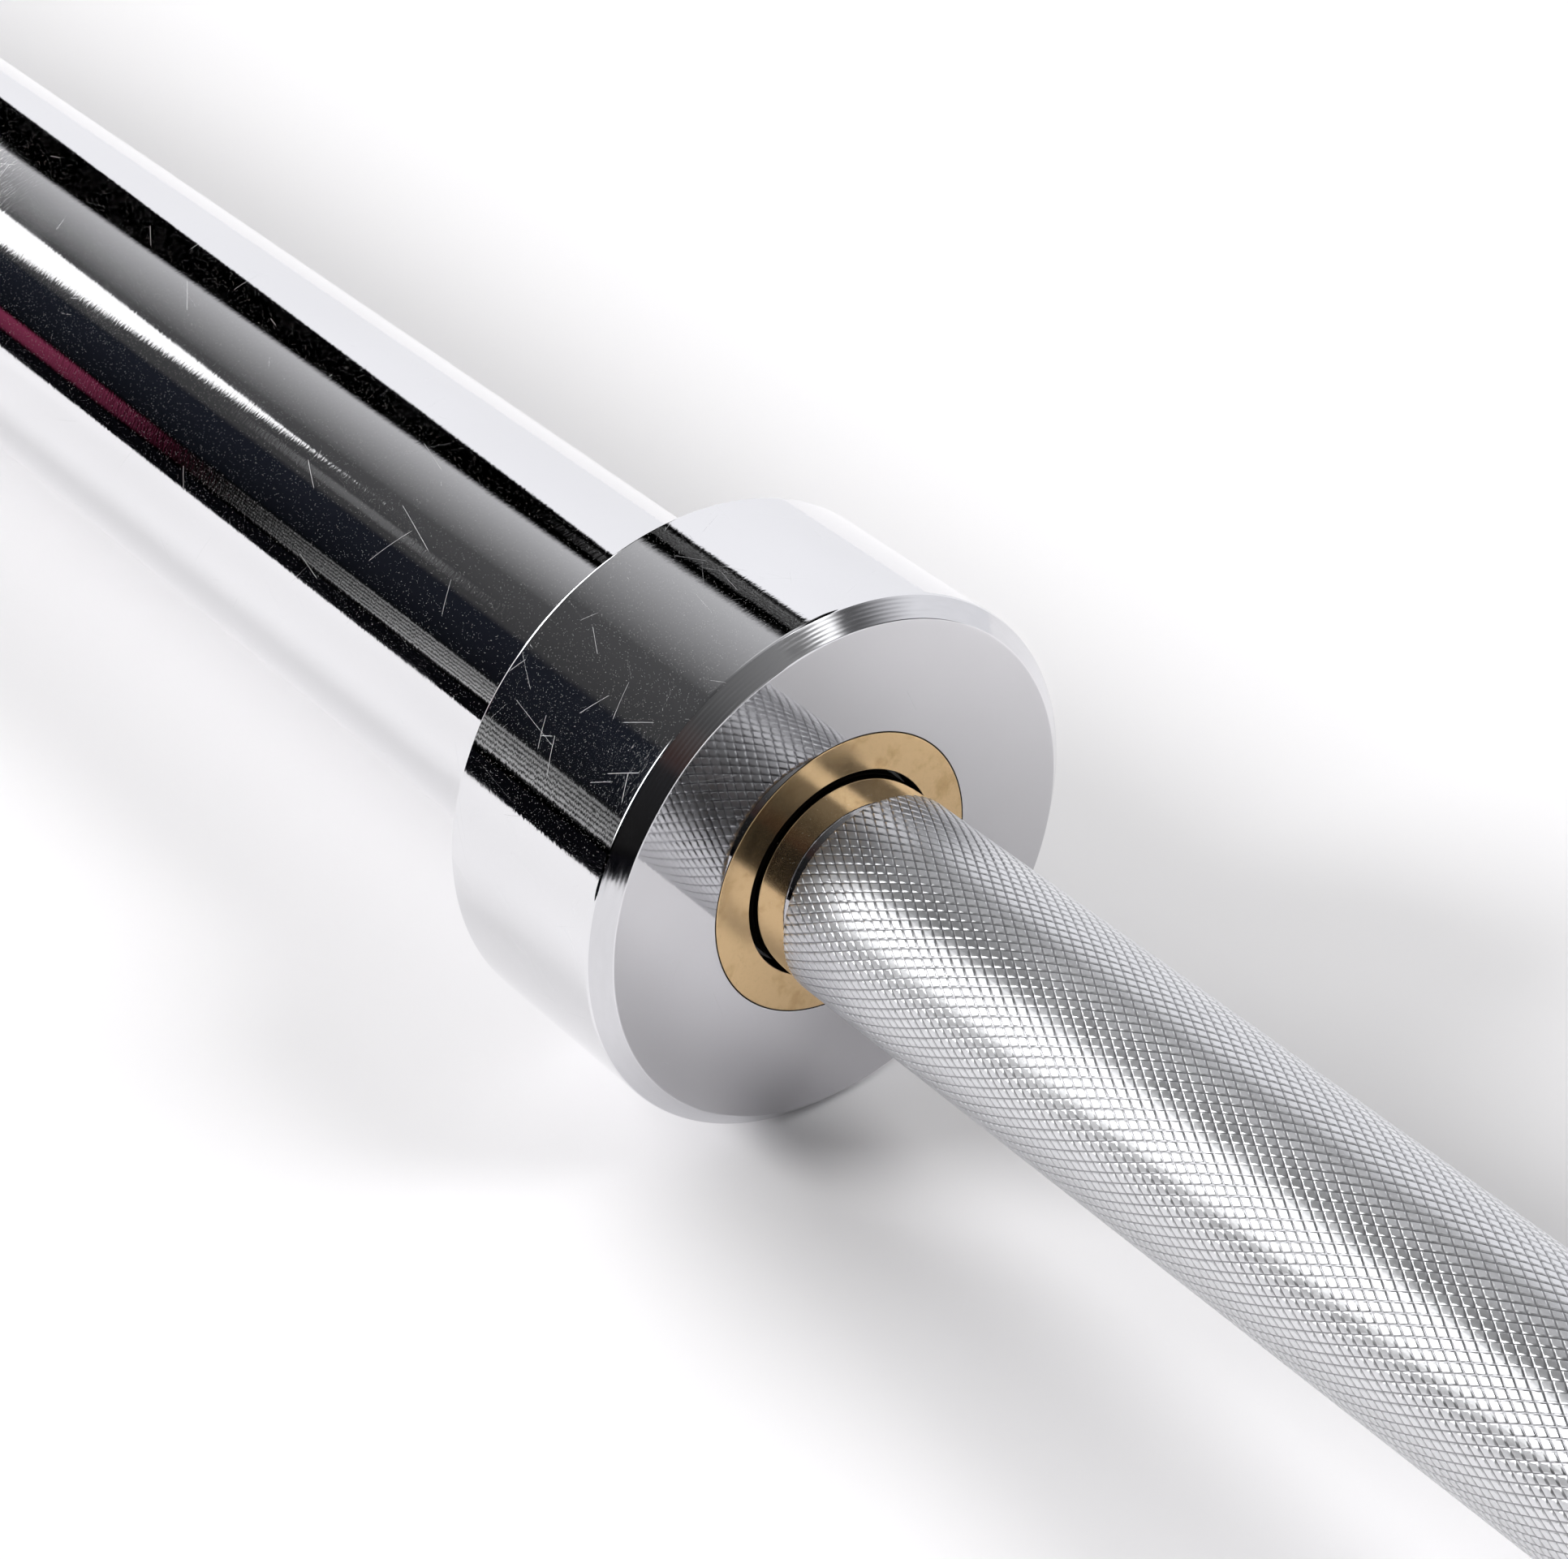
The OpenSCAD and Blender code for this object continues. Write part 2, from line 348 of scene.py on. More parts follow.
    def metal(self, colour: object, roughness: Value, normal: Optional[Socket],
              drawn: float = 0.0, dust: Value = 0.0) -> bpy.types.Material:
        """Ends the recipe as bare metal.

        Args:
            colour: The metal's colour.
            roughness: The surface's roughness.
            normal: The surface's normal.
            drawn: How strongly turning marks draw the gloss out, from 0 to 1.
            dust: How much of the surface is covered by something dull.

        Returns:
            The material.
        """
        shader = self.add("ShaderNodeBsdfPrincipled")
        self.feed(shader.inputs["Metallic"], self.math("SUBTRACT", 1.0, dust))
        self.feed(shader.inputs["Base Color"], (*colour, 1.0) if isinstance(colour, tuple) else colour)
        self.feed(shader.inputs["Roughness"], roughness)
        if drawn:
            shader.inputs["Anisotropic"].default_value = drawn
            shader.inputs["Anisotropic Rotation"].default_value = 0.25
            tangent = self.add("ShaderNodeTangent", direction_type="RADIAL", axis="X")
            self.feed(shader.inputs["Tangent"], tangent.outputs[0])
        if normal is not None:
            self.feed(shader.inputs["Normal"], normal)
        self.feed(self.output.inputs["Surface"], shader.outputs[0])
        return self.material


@dataclass(frozen=True)
class Scratching:
    """Scratches that run one way: their turn in degrees, longest length and spacing in millimetres."""

    turn: float
    length: float
    gap: float


SCRATCHINGS = (
    Scratching(14, 11, 1.1),
    Scratching(33, 8, 0.9),
    Scratching(66, 7, 1.2),
    Scratching(-24, 6, 0.9),
    Scratching(-58, 8, 1.3),
)


@dataclass(frozen=True)
class PolishedChrome:
    """Ground, polished and plated steel, with faint grinding marks, scratches and dust."""

    name: str
    colour: Colour = (0.80, 0.80, 0.815)
    gloss: float = 0.03
    ripple: float = 0.007
    wave: float = 0.015
    scratched: float = 0.012
    dusty: float = 0.34
    flat_face: bool = False

    def material(self) -> bpy.types.Material:
        """Builds the material."""
        r = Recipe(self.name)
        flat = r.end_on() if self.flat_face else r.rolled_flat()
        grain = r.add("ShaderNodeVectorMath", operation="MULTIPLY")
        r.feed(grain.inputs[0], flat)
        grain.inputs[1].default_value = (1 / (0.5 * MM), 1 / (1.5 * MM), 1.0)
        ground = r.noise(grain.outputs[0], 1.0, 2.0, 0.6)
        waves = r.noise(r.place((0.05, 0.09, 0.09)), 1.0, 1.0)
        normal = r.bump(ground, self.ripple)
        normal = r.bump(waves, self.wave, normal)
        scratch: Value = 0.0
        for way in SCRATCHINGS:
            lines = r.scratches(flat, way.turn, way.length, way.gap, SCRATCH_HALF_WIDTH, self.scratched)
            scratch = r.math("MAXIMUM", scratch, lines)
        fine = r.specks(0.9, 0.15, self.dusty)
        coarse = r.specks(3.1, 0.065, self.dusty)
        dots = r.math("MAXIMUM", fine, coarse)
        film = r.noise(r.place((0.06, 0.2, 0.2)), 1.0, 3.0)
        haze = r.span(film, 0.35, 0.75, self.gloss, self.gloss + 0.03)
        roughness = r.math("ADD", haze, r.math("MULTIPLY", r.math("MAXIMUM", scratch, dots), 0.4))
        tone = r.span(r.noise(r.place((0.02, 0.05, 0.05)), 1.0, 2.0), 0.3, 0.7)
        colour = r.blend(tone, self.colour, tuple(c * 0.97 for c in self.colour))
        colour = r.blend(dots, colour, (0.97, 0.97, 0.97))
        dull = r.math("MAXIMUM", r.math("MULTIPLY", scratch, 0.2), r.math("MULTIPLY", dots, 0.8))
        return r.metal(colour, roughness, normal, dust=dull)


@dataclass(frozen=True)
class TurnedChrome:
    """Plated steel that keeps the fine rings of the turning tool."""

    name: str
    # Darker than polished chrome: painted shade on the collar's chamfer, which mirrors shaded floor
    colour: Colour = (0.68, 0.68, 0.70)
    pitch: float = 0.36
    depth: float = 0.0026
    gloss: float = 0.06

    def material(self) -> bpy.types.Material:
        """Builds the material."""
        r = Recipe(self.name)
        along = r.math("MULTIPLY", r.axis("X"), FULL_TURN / (self.pitch * MM))
        rings = r.math("MULTIPLY_ADD", r.math("SINE", along), 0.5, 0.5)
        uneven = r.noise(r.place((2.0, 0.3, 0.3)), 1.0, 2.0)
        height = r.math("MULTIPLY", rings, r.span(uneven, 0.3, 0.7, 0.35, 1.0))
        normal = r.bump(height, self.depth)
        roughness = r.span(uneven, 0.2, 0.8, self.gloss, self.gloss + 0.06)
        colour = r.blend(uneven, self.colour, tuple(c * 0.93 for c in self.colour))
        return r.metal(colour, roughness, normal)


@dataclass(frozen=True)
class TurnedBrass:
    """Brass faced on a lathe, with a thin patina, stains and small pits."""

    name: str
    colour: Colour = (0.79, 0.56, 0.305)
    patina: Colour = (0.52, 0.33, 0.14)
    gloss: float = 0.19

    def material(self) -> bpy.types.Material:
        """Builds the material."""
        r = Recipe(self.name)
        out = r.math("MULTIPLY", r.radius(), 1 / MM)
        spot = r.add("ShaderNodeCombineXYZ")
        r.feed(spot.inputs[0], r.math("MULTIPLY", out, 5.0))
        r.feed(spot.inputs[1], r.math("MULTIPLY", r.axis("X"), 4 / MM))
        rings = r.noise(spot.outputs[0], 1.0, 3.0, 0.7)
        cloud = r.noise(r.place((0.25, 0.25, 0.25)), 1.0, 4.0, 0.65)
        stain = r.span(cloud, 0.47, 0.7)
        pits = r.specks(0.8, 0.17, 0.4)
        normal = r.bump(rings, 0.005)
        normal = r.bump(r.math("SUBTRACT", 1.0, pits), 0.02, normal)
        colour = r.blend(r.math("MULTIPLY", stain, 0.55), self.colour, self.patina)
        colour = r.blend(r.math("MULTIPLY", pits, 0.7), colour, (0.14, 0.08, 0.04))
        roughness = r.math("ADD", r.span(cloud, 0.3, 0.7, self.gloss, self.gloss + 0.05),
                           r.math("MULTIPLY", pits, 0.3))
        return r.metal(colour, roughness, normal, drawn=0.8)


@dataclass(frozen=True)
class SatinChrome:
    """Satin plating over the rolled knurl, with the grooves' bottoms painted dark as shade."""

    name: str
    colour: Colour = (0.77, 0.775, 0.79)
    # Painted shade: the colour at the bottom of the grooves
    groove: Colour = (0.34, 0.34, 0.355)
    gloss: float = 0.31
    groove_r: float = 13.84
    crest_r: float = 13.94

    def material(self) -> bpy.types.Material:
        """Builds the material."""
        r = Recipe(self.name)
        grain = r.noise(r.place((6.0, 6.0, 6.0)), 1.0, 2.0)
        cloud = r.noise(r.place((0.3, 0.3, 0.3)), 1.0, 2.0)
        normal = r.bump(grain, 0.006)
        roughness = r.span(cloud, 0.3, 0.7, self.gloss, self.gloss + 0.06)
        # Painted shade: darker towards the grooves' bottoms, full colour on the crests
        crest = r.span(r.radius(), self.groove_r * MM, self.crest_r * MM)
        return r.metal(r.blend(crest, self.groove, self.colour), roughness, normal)


@dataclass(frozen=True)
class PlainSteel:
    """Hidden metal: ground washers and blued spring rings, and the walls of the running gap. The gap's
    walls are painted near-black and the washers dark grey, as painted shade inside the sleeve.
    """

    name: str
    colour: Colour
    gloss: float

    def material(self) -> bpy.types.Material:
        """Builds the material."""
        r = Recipe(self.name)
        out = r.math("MULTIPLY", r.radius(), 7 / MM)
        spot = r.add("ShaderNodeCombineXYZ")
        r.feed(spot.inputs[0], out)
        r.feed(spot.inputs[1], r.math("MULTIPLY", r.axis("X"), 5 / MM))
        rings = r.noise(spot.outputs[0], 1.0, 2.0)
        oil = r.noise(r.place((0.3, 0.3, 0.3)), 1.0, 3.0)
        colour = r.blend(oil, self.colour, tuple(c * 0.7 for c in self.colour))
        return r.metal(colour, r.span(oil, 0.3, 0.7, self.gloss, self.gloss + 0.12), r.bump(rings, 0.003))


@dataclass(frozen=True)
class Corner:
    """A corner of a turned outline, in millimetres: its place along the bar, radius and rounding."""

    x: float
    r: float
    soft: float = 0.0


@dataclass
class TurnedPiece:
    """A piece of revolution about the bar's axis, made by spinning its outline.

    Its shading breaks at a sharp bend, and at a slight one (both in degrees) where one face is
    uneven_share times as large as the next.
    """

    name: str
    outline: list[Corner]
    steps: int = ROUND_STEPS
    uneven_share: float = 2.5
    sharp_bend: float = 35.0
    slight_bend: float = 1.0

    def shape(self) -> bmesh.types.BMesh:
        """Spins the outline into a closed shell.

        Returns:
            The shell for the right end of the bar.
        """
        bm = bmesh.new()
        points = [bm.verts.new((c.x * MM, 0.0, c.r * MM)) for c in self.outline]
        closed = self.outline[0].r > 0
        for first, second in zip(points, points[1:] + points[:1]):
            if closed or second is not points[0]:
                bm.edges.new((first, second))
        bmesh.ops.spin(bm, geom=bm.verts[:] + bm.edges[:], cent=(0, 0, 0), axis=(1, 0, 0),
                       angle=FULL_TURN, steps=self.steps, use_merge=True)
        bmesh.ops.remove_doubles(bm, verts=bm.verts, dist=1e-7)
        self.soften(bm)
        bmesh.ops.recalc_face_normals(bm, faces=bm.faces)
        self.shade(bm)
        return bm

    def soften(self, bm: bmesh.types.BMesh) -> None:
        """Rounds the outline's corners.

        Args:
            bm: The spun shell.
        """
        for corner in self.outline:
            if not corner.soft:
                continue
            ring = [e for e in bm.edges if all(self.at(v, corner) for v in e.verts)]
            bmesh.ops.bevel(bm, geom=ring, offset=corner.soft * MM, offset_type="OFFSET", segments=4,
                            profile=0.5, affect="EDGES", clamp_overlap=True, material=-1)

    @staticmethod
    def at(vert: bmesh.types.BMVert, corner: Corner) -> bool:
        """Whether a vertex lies on a corner of the outline."""
        radius = math.hypot(vert.co.y, vert.co.z)
        return abs(vert.co.x - corner.x * MM) < 2e-6 and abs(radius - corner.r * MM) < 2e-6

    def shade(self, bm: bmesh.types.BMesh) -> None:
        """Shades the shell smooth, with a break where a wide face meets a narrow one.

        Args:
            bm: The shell.
        """
        for face in bm.faces:
            face.smooth = True
        for edge in bm.edges:
            if len(edge.link_faces) != 2:
                continue
            areas = sorted(f.calc_area() for f in edge.link_faces)
            bend = edge.calc_face_angle(0.0)
            uneven = areas[1] > self.uneven_share * areas[0]
            limit = self.slight_bend if uneven else self.sharp_bend
            edge.smooth = bend <= math.radians(limit)

    def paint(self, bm: bmesh.types.BMesh, zone: Zone, belongs: Callable[[float, float], bool]) -> None:
        """Gives a zone of the shell its own material slot.

        Args:
            bm: The shell.
            zone: The slot.
            belongs: Says whether a face at this place and radius, in millimetres, is in the zone.
        """
        for face in bm.faces:
            middle = face.calc_center_median()
            if belongs(middle.x / MM, math.hypot(middle.y, middle.z) / MM):
                face.material_index = zone.value


def settle(bm: bmesh.types.BMesh, name: str, side: Side,
           materials: list[bpy.types.Material]) -> bpy.types.Object:
    """Makes a finished object of a shell, in its place on the bar.

    Args:
        bm: The shell, for the right end of the bar.
        name: The object's name.
        side: The end that it belongs to. What is of neither end is given as RIGHT, which isn't turned.
        materials: Its materials, in slot order.

    Returns:
        The object.
    """
    bmesh.ops.transform(bm, matrix=side.turn, verts=bm.verts)
    mesh = bpy.data.meshes.new(name)
    bm.to_mesh(mesh)
    bm.free()
    for material in materials:
        mesh.materials.append(material)
    obj = bpy.data.objects.new(name, mesh)
    bpy.context.scene.collection.objects.link(obj)
    return obj


def only_mirrored(obj: bpy.types.Object) -> None:
    """Hides a thing of the studio from everything but reflections."""
    for kind in ("camera", "diffuse", "transmission", "volume_scatter", "shadow"):
        setattr(obj, f"visible_{kind}", False)


def hand_over(obj: bpy.types.Object, body: str, slot: str, *nodes: str) -> None:
    """Tells the frame what a piece rides on and stands for.

    Args:
        obj: The piece.
        body: The body that it moves with.
        slot: The record's material slot; not used.
        *nodes: The solids that it stands for.
    """
    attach(obj, body)
    if nodes:
        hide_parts(*nodes)
    triangles = sum(len(p.vertices) - 2 for p in obj.data.polygons)
    log.info("%s rides on %s with %d triangles", obj.name, body, triangles)


@dataclass
class Finishes:
    """The finishes of the whole bar."""

    sleeve: PolishedChrome = PolishedChrome("sleeve_chrome")
    collar: PolishedChrome = PolishedChrome("collar_chrome", scratched=0.07, dusty=0.5)
    # The face's and the chamfer's chrome are darker than the rim's: painted shade for the shaded floor that
    # they mirror
    face: PolishedChrome = PolishedChrome("collar_face_shaded_chrome", colour=(0.70, 0.695, 0.715), ripple=0.0015,
                                          wave=0.008, scratched=0.008, dusty=0.05, flat_face=True)
    chamfer: TurnedChrome = TurnedChrome("collar_chamfer_shaded_chrome")
    neck: PolishedChrome = PolishedChrome("neck_chrome", colour=(0.72, 0.715, 0.72), ripple=0.0015,
                                          wave=0.008, scratched=0.0, dusty=0.04)
    knurl: SatinChrome = SatinChrome("knurl_chrome")
    brass: TurnedBrass = TurnedBrass("bush_brass")
    # Near-black: painted shade for the walls of the running gap in the bush's recess
    oily: PlainSteel = PlainSteel("oily_gap", (0.05, 0.042, 0.032), 0.5)
    # Dark grey: painted shade for the washers inside the sleeve
    washer: PlainSteel = PlainSteel("washer_steel", (0.20, 0.20, 0.20), 0.36)
    spring: PlainSteel = PlainSteel("spring_steel", (0.16, 0.17, 0.19), 0.34)
    cap: TurnedChrome = TurnedChrome("cap_chrome", pitch=0.35, depth=0.0016, gloss=0.08)
    built: dict[str, bpy.types.Material] = field(default_factory=dict)

    def get(self, name: str) -> bpy.types.Material:
        """Builds a finish once and gives it out each time.

        Args:
            name: The finish's name in this class.

        Returns:
            The material.
        """
        if name not in self.built:
            self.built[name] = getattr(self, name).material()
        return self.built[name]


@dataclass
class Knurl:
    """A rolled diamond knurl: thin crossed helical grooves between flat diamonds."""

    starts: int = 64
    crest_r: float = 14.0
    groove_depth: float = 0.17
    groove_half: float = 0.02
    flank: float = 0.17
    end_chamfer: float = 0.35
    end_drop: float = 0.2975
    axial_pitch: float = 2.33
    skirt_r: float = 13.45

    def band(self, name: str, start: float, end: float) -> bmesh.types.BMesh:
        """Builds one knurled band.

        Args:
            name: The band's name, for the log.
            start: Where it begins along the bar, in millimetres.
            end: Where it ends.

        Returns:
            The band's surface.
        """
        half_x = self.axial_pitch / 2
        # The rows lean, so the grid has half cells to spare at both ends, which are cut off later.
        spare, before = 4, 3
        cells = math.ceil((end - start) / half_x) + spare
        bm = bmesh.new()
        bmesh.ops.create_grid(bm, x_segments=cells, y_segments=1, size=0.5)
        half_arc = math.pi * self.crest_r / self.starts
        for vert in bm.verts:
            step = (vert.co.x + 0.5) * cells
            row = vert.co.y + 0.5
            along = start + (step + row - before) * half_x
            vert.co = Vector((along, (step - row) * half_arc, -self.groove_depth))
        bm.normal_update()
        tops = bm.faces[:]
        for inset in (self.groove_half, self.flank):
            bmesh.ops.inset_individual(bm, faces=tops, thickness=inset, depth=0.0, use_even_offset=True)
        self.lift(tops, 0.0)
        for face in bm.faces:
            face.smooth = True
        for face in tops:
            face.smooth = False
        for vert in bm.verts:
            angle = vert.co.y / self.crest_r
            radius = (self.crest_r + vert.co.z) * MM
            vert.co = Vector((vert.co.x * MM, radius * math.sin(angle), radius * math.cos(angle)))
        bmesh.ops.spin(bm, geom=bm.verts[:] + bm.edges[:] + bm.faces[:], cent=(0, 0, 0), axis=(1, 0, 0),
                       angle=FULL_TURN - FULL_TURN / self.starts, steps=self.starts - 1, use_duplicate=True)
        bmesh.ops.remove_doubles(bm, verts=bm.verts, dist=2e-6)
        self.trim(bm, start, -1)
        self.trim(bm, end, 1)
        log.info("%s has %d faces", name, len(bm.faces))
        return bm

    @staticmethod
    def lift(faces: list[bmesh.types.BMFace], height: float) -> None:
        """Sets the height of the faces' corners, in millimetres above the crest."""
        for vert in {v for face in faces for v in face.verts}:
            vert.co.z = height

    def trim(self, bm: bmesh.types.BMesh, x: float, way: int) -> None:
        """Cuts the band off square and closes the step down to the shaft.

        Args:
            bm: The band.
            x: Where the cut is, in millimetres.
            way: 1 to drop what lies beyond, -1 to drop what lies before.
        """
        for cut, clear in ((x, True), (x - way * self.end_chamfer, False)):
            geom = bm.verts[:] + bm.edges[:] + bm.faces[:]
            bmesh.ops.bisect_plane(bm, geom=geom, dist=1e-7, plane_co=(cut * MM, 0, 0),
                                   plane_no=(way, 0, 0), clear_outer=clear)
        rim = [e for e in bm.edges if e.is_boundary and all(abs(v.co.x - x * MM) < 1e-6 for v in e.verts)]
        self.shrink({v for e in rim for v in e.verts}, self.crest_r - self.end_drop)
        skirt = bmesh.ops.extrude_edge_only(bm, edges=rim)["geom"]
        self.shrink({g for g in skirt if isinstance(g, bmesh.types.BMVert)}, self.skirt_r)

    @staticmethod
    def shrink(verts: set[bmesh.types.BMVert], radius: float) -> None:
        """Brings vertices that stand further out than a radius, in millimetres, down to it."""
        for vert in verts:
            out = math.hypot(vert.co.y, vert.co.z)
            if out > radius * MM:
                vert.co.y *= radius * MM / out
                vert.co.z *= radius * MM / out


@dataclass
class Shaft:
    """The one-piece shaft: journals, smooth necks, grip marks and knurled bands.

    Distances are in millimetres from the bar's middle. The stretch from gap_start to gap_end lies
    in the bush's recess and is painted near-black there, as shade. The knurl laps the neck's foot, so that
    no slit shows between them.
    """

    finishes: Finishes
    neck_r: float = 13.65
    journal_r: float = 12.5
    groove_r: float = 11.3
    core_r: float = 13.5
    mark_r: float = 13.8
    plain_r: float = 13.9
    tail: float = 1079.0
    ring_start: float = 1072.2
    ring_end: float = 1073.8
    shoulder: float = 657.7
    knurl_start: float = 648.4
    core_step: float = 0.4
    knurl_lap: float = 0.5
    gap_start: float = 655.1
    gap_end: float = 659.0
    mark_outer: float = 460.0
    mark_inner: float = 455.0
    grip_inner: float = 212.5
    centre_half: float = 60.0

    def half(self) -> list[Corner]:
        """Gives the outline of the right half, from the middle outwards."""
        return [
            Corner(self.centre_half, self.core_r),
            Corner(self.centre_half, self.plain_r),
            Corner(self.grip_inner, self.plain_r),
            Corner(self.grip_inner, self.core_r),
            Corner(self.mark_inner, self.core_r),
            Corner(self.mark_inner, self.mark_r),
            Corner(self.mark_outer, self.mark_r),
            Corner(self.mark_outer, self.core_r),
            Corner(self.knurl_start + self.core_step, self.core_r),
            Corner(self.knurl_start + self.core_step, self.neck_r),
            Corner(self.gap_start, self.neck_r),
            Corner(self.shoulder, self.neck_r, 0.12),
            Corner(self.shoulder, self.journal_r),
            Corner(self.ring_start, self.journal_r),
            Corner(self.ring_start, self.groove_r),
            Corner(self.ring_end, self.groove_r),
            Corner(self.ring_end, self.journal_r),
            Corner(self.tail - 1.0, self.journal_r, 0.2),
            Corner(self.tail, self.journal_r - 1.0, 0.2),
            Corner(self.tail, 0.0),
        ]

    def build(self) -> None:
        """Builds and dresses the shaft's pieces."""
        half = self.half()
        mirrored = [Corner(-c.x, c.r, c.soft) for c in reversed(half)]
        core = TurnedPiece("shaft_core", mirrored + half, steps=192)
        bm = core.shape()
        # The neck inside the bush's recess is painted near-black, as the recess's shade
        core.paint(bm, Zone.FACE, lambda x, r: self.gap_start < abs(x) < self.gap_end)
        obj = settle(bm, core.name, Side.RIGHT, [self.finishes.get("neck"), self.finishes.get("oily")])
        hand_over(obj, "shaft", "shaft_chrome", "shaft")
        knurl = Knurl()
        middle = (self.grip_inner + self.mark_inner) / 2
        bands = {
            "outer_knurl": (self.mark_outer, self.knurl_start + self.knurl_lap),
            "middle_knurl": (middle, self.mark_inner),
            "inner_knurl": (self.grip_inner, middle),
        }
        for side in Side:
            for name, (start, end) in bands.items():
                self.grip(knurl, f"{side.value}_{name}", start, end, side)
        self.grip(knurl, "centre_knurl", -self.centre_half, self.centre_half, Side.RIGHT)

    def grip(self, knurl: Knurl, name: str, start: float, end: float, side: Side) -> None:
        """Builds one knurled band on the shaft.

        Args:
            knurl: The knurl's form.
            name: The piece's name.
            start: Where it begins, in millimetres from the middle.
            end: Where it ends.
            side: The end of the bar.
        """
        obj = settle(knurl.band(name, start, end), name, side, [self.finishes.get("knurl")])
        hand_over(obj, "shaft", "shaft_chrome")


@dataclass
class Sleeve:
    """One revolving sleeve: tube, collar, bushes, end cap and the rings that hold them."""

    side: Side
    finishes: Finishes
    face: float = 655.0
    wall_end: float = 661.0
    collar_end: float = 686.5
    bush_end: float = 705.0
    outer_bush_start: float = 1030.0
    outer_bush_end: float = 1070.0
    mouth: float = 1089.0
    cap_end: float = 1094.5
    end: float = 1100.0
    ring_t: float = 1.5
    bush_r: float = 19.5
    recess_r: float = 14.35
    bush_bore_r: float = 12.55
    recess_floor: float = 659.0
    spigot_r: float = 23.0
    tube_r: float = 25.0
    tube_bore_r: float = 14.5
    collar_r: float = 37.0
    chamfer_r: float = 34.6
    chamfer_x: float = 2.2
    back_chamfer: float = 0.5
    relief_r: float = 25.6
    relief_depth: float = 0.8
    outer_bush_r: float = 19.0
    bush_groove_r: float = 20.2
    mouth_r: float = 21.0
    cap_groove_r: float = 22.2
    dish_r: float = 15.0
    dish_depth: float = 1.0

    def name(self, piece: str) -> str:
        """Names a piece of this sleeve."""
        return f"{self.side.value}_{piece}"

    def collar(self) -> None:
        """Builds the collar, with its face and chamfer finished apart from its rim, in darker chrome as
        painted shade.
        """
        outline = [
            Corner(self.face, self.bush_r, 0.08),
            Corner(self.face, self.chamfer_r, 0.12),
            Corner(self.face + self.chamfer_x, self.collar_r, 0.2),
            Corner(self.collar_end - self.back_chamfer, self.collar_r, 0.15),
            Corner(self.collar_end, self.collar_r - self.back_chamfer, 0.15),
            Corner(self.collar_end, self.relief_r, 0.1),
            Corner(self.collar_end - self.relief_depth, self.relief_r),
            Corner(self.collar_end - self.relief_depth, self.spigot_r),
            Corner(self.wall_end, self.spigot_r),
            Corner(self.wall_end, self.bush_r),
        ]
        piece = TurnedPiece(self.name("collar_shell"), outline)
        bm = piece.shape()
        chamfer_start, chamfer_end = self.face + 0.1, self.face + 2.0
        piece.paint(bm, Zone.FACE, lambda x, r: x < self.face + 0.06)
        piece.paint(bm, Zone.CHAMFER, lambda x, r: chamfer_start < x < chamfer_end and r > 34)
        materials = [self.finishes.get(k) for k in ("collar", "face", "chamfer")]
        obj = settle(bm, piece.name, self.side, materials)
        hand_over(obj, self.body, "collar_chrome", self.name("collar"))

    def tube(self) -> None:
        """Builds the tube that carries the plates."""
        outline = [
            Corner(self.wall_end, self.bush_r),
            Corner(self.wall_end, self.spigot_r),
            Corner(self.collar_end, self.spigot_r),
            Corner(self.collar_end, self.tube_r, 0.1),
            Corner(self.end - 1.5, self.tube_r, 0.3),
            Corner(self.end, self.tube_r - 1.5, 0.3),
            Corner(self.end, self.mouth_r + 0.6, 0.1),
            Corner(self.end - 0.6, self.mouth_r),
            Corner(self.cap_end + self.ring_t, self.mouth_r),
            Corner(self.cap_end + self.ring_t, self.cap_groove_r),
            Corner(self.cap_end, self.cap_groove_r),
            Corner(self.cap_end, self.mouth_r),
            Corner(self.mouth, self.mouth_r),
            Corner(self.mouth, self.outer_bush_r),
            Corner(self.outer_bush_end + self.ring_t, self.outer_bush_r),
            Corner(self.outer_bush_end + self.ring_t, self.bush_groove_r),
            Corner(self.outer_bush_end, self.bush_groove_r),
            Corner(self.outer_bush_end, self.outer_bush_r),
            Corner(self.outer_bush_start, self.outer_bush_r),
            Corner(self.outer_bush_start, self.tube_bore_r),
            Corner(self.bush_end, self.tube_bore_r),
            Corner(self.bush_end, self.bush_r),
        ]
        piece = TurnedPiece(self.name("sleeve_shell"), outline)
        obj = settle(piece.shape(), piece.name, self.side, [self.finishes.get("sleeve")])
        hand_over(obj, self.body, "sleeve_chrome", self.name("sleeve_tube"))

    def inner_bush(self) -> None:
        """Builds the brass bush that is flush with the collar's face."""
        outline = [
            Corner(self.face, self.recess_r + 0.06, 0.03),
            Corner(self.face, self.bush_r - 0.2, 0.05),
            Corner(self.face + 0.2, self.bush_r),
            Corner(self.bush_end, self.bush_r),
            Corner(self.bush_end, self.bush_bore_r),
            Corner(self.recess_floor, self.bush_bore_r),
            Corner(self.recess_floor, self.recess_r),
            Corner(self.face + 0.3, self.recess_r),
            Corner(self.face + 0.06, self.recess_r),
        ]
        piece = TurnedPiece(self.name("inner_bush_shell"), outline)
        bm = piece.shape()
        recess_wall, rim = self.recess_r + 0.05, self.bush_r - 0.15
        rim_start, rim_end = self.face + 0.04, self.face + 0.3
        # Painted shade: the recess's wall and floor, and the rim where the bush meets the collar, are
        # painted near-black
        piece.paint(bm, Zone.FACE, lambda x, r: x > self.face + 0.15 and r < recess_wall)
        piece.paint(bm, Zone.FACE, lambda x, r: rim_start < x < rim_end and r > rim)
        materials = [self.finishes.get(k) for k in ("brass", "oily")]
        obj = settle(bm, piece.name, self.side, materials)
        hand_over(obj, self.body, "bush_brass", self.name("inner_bushing"))

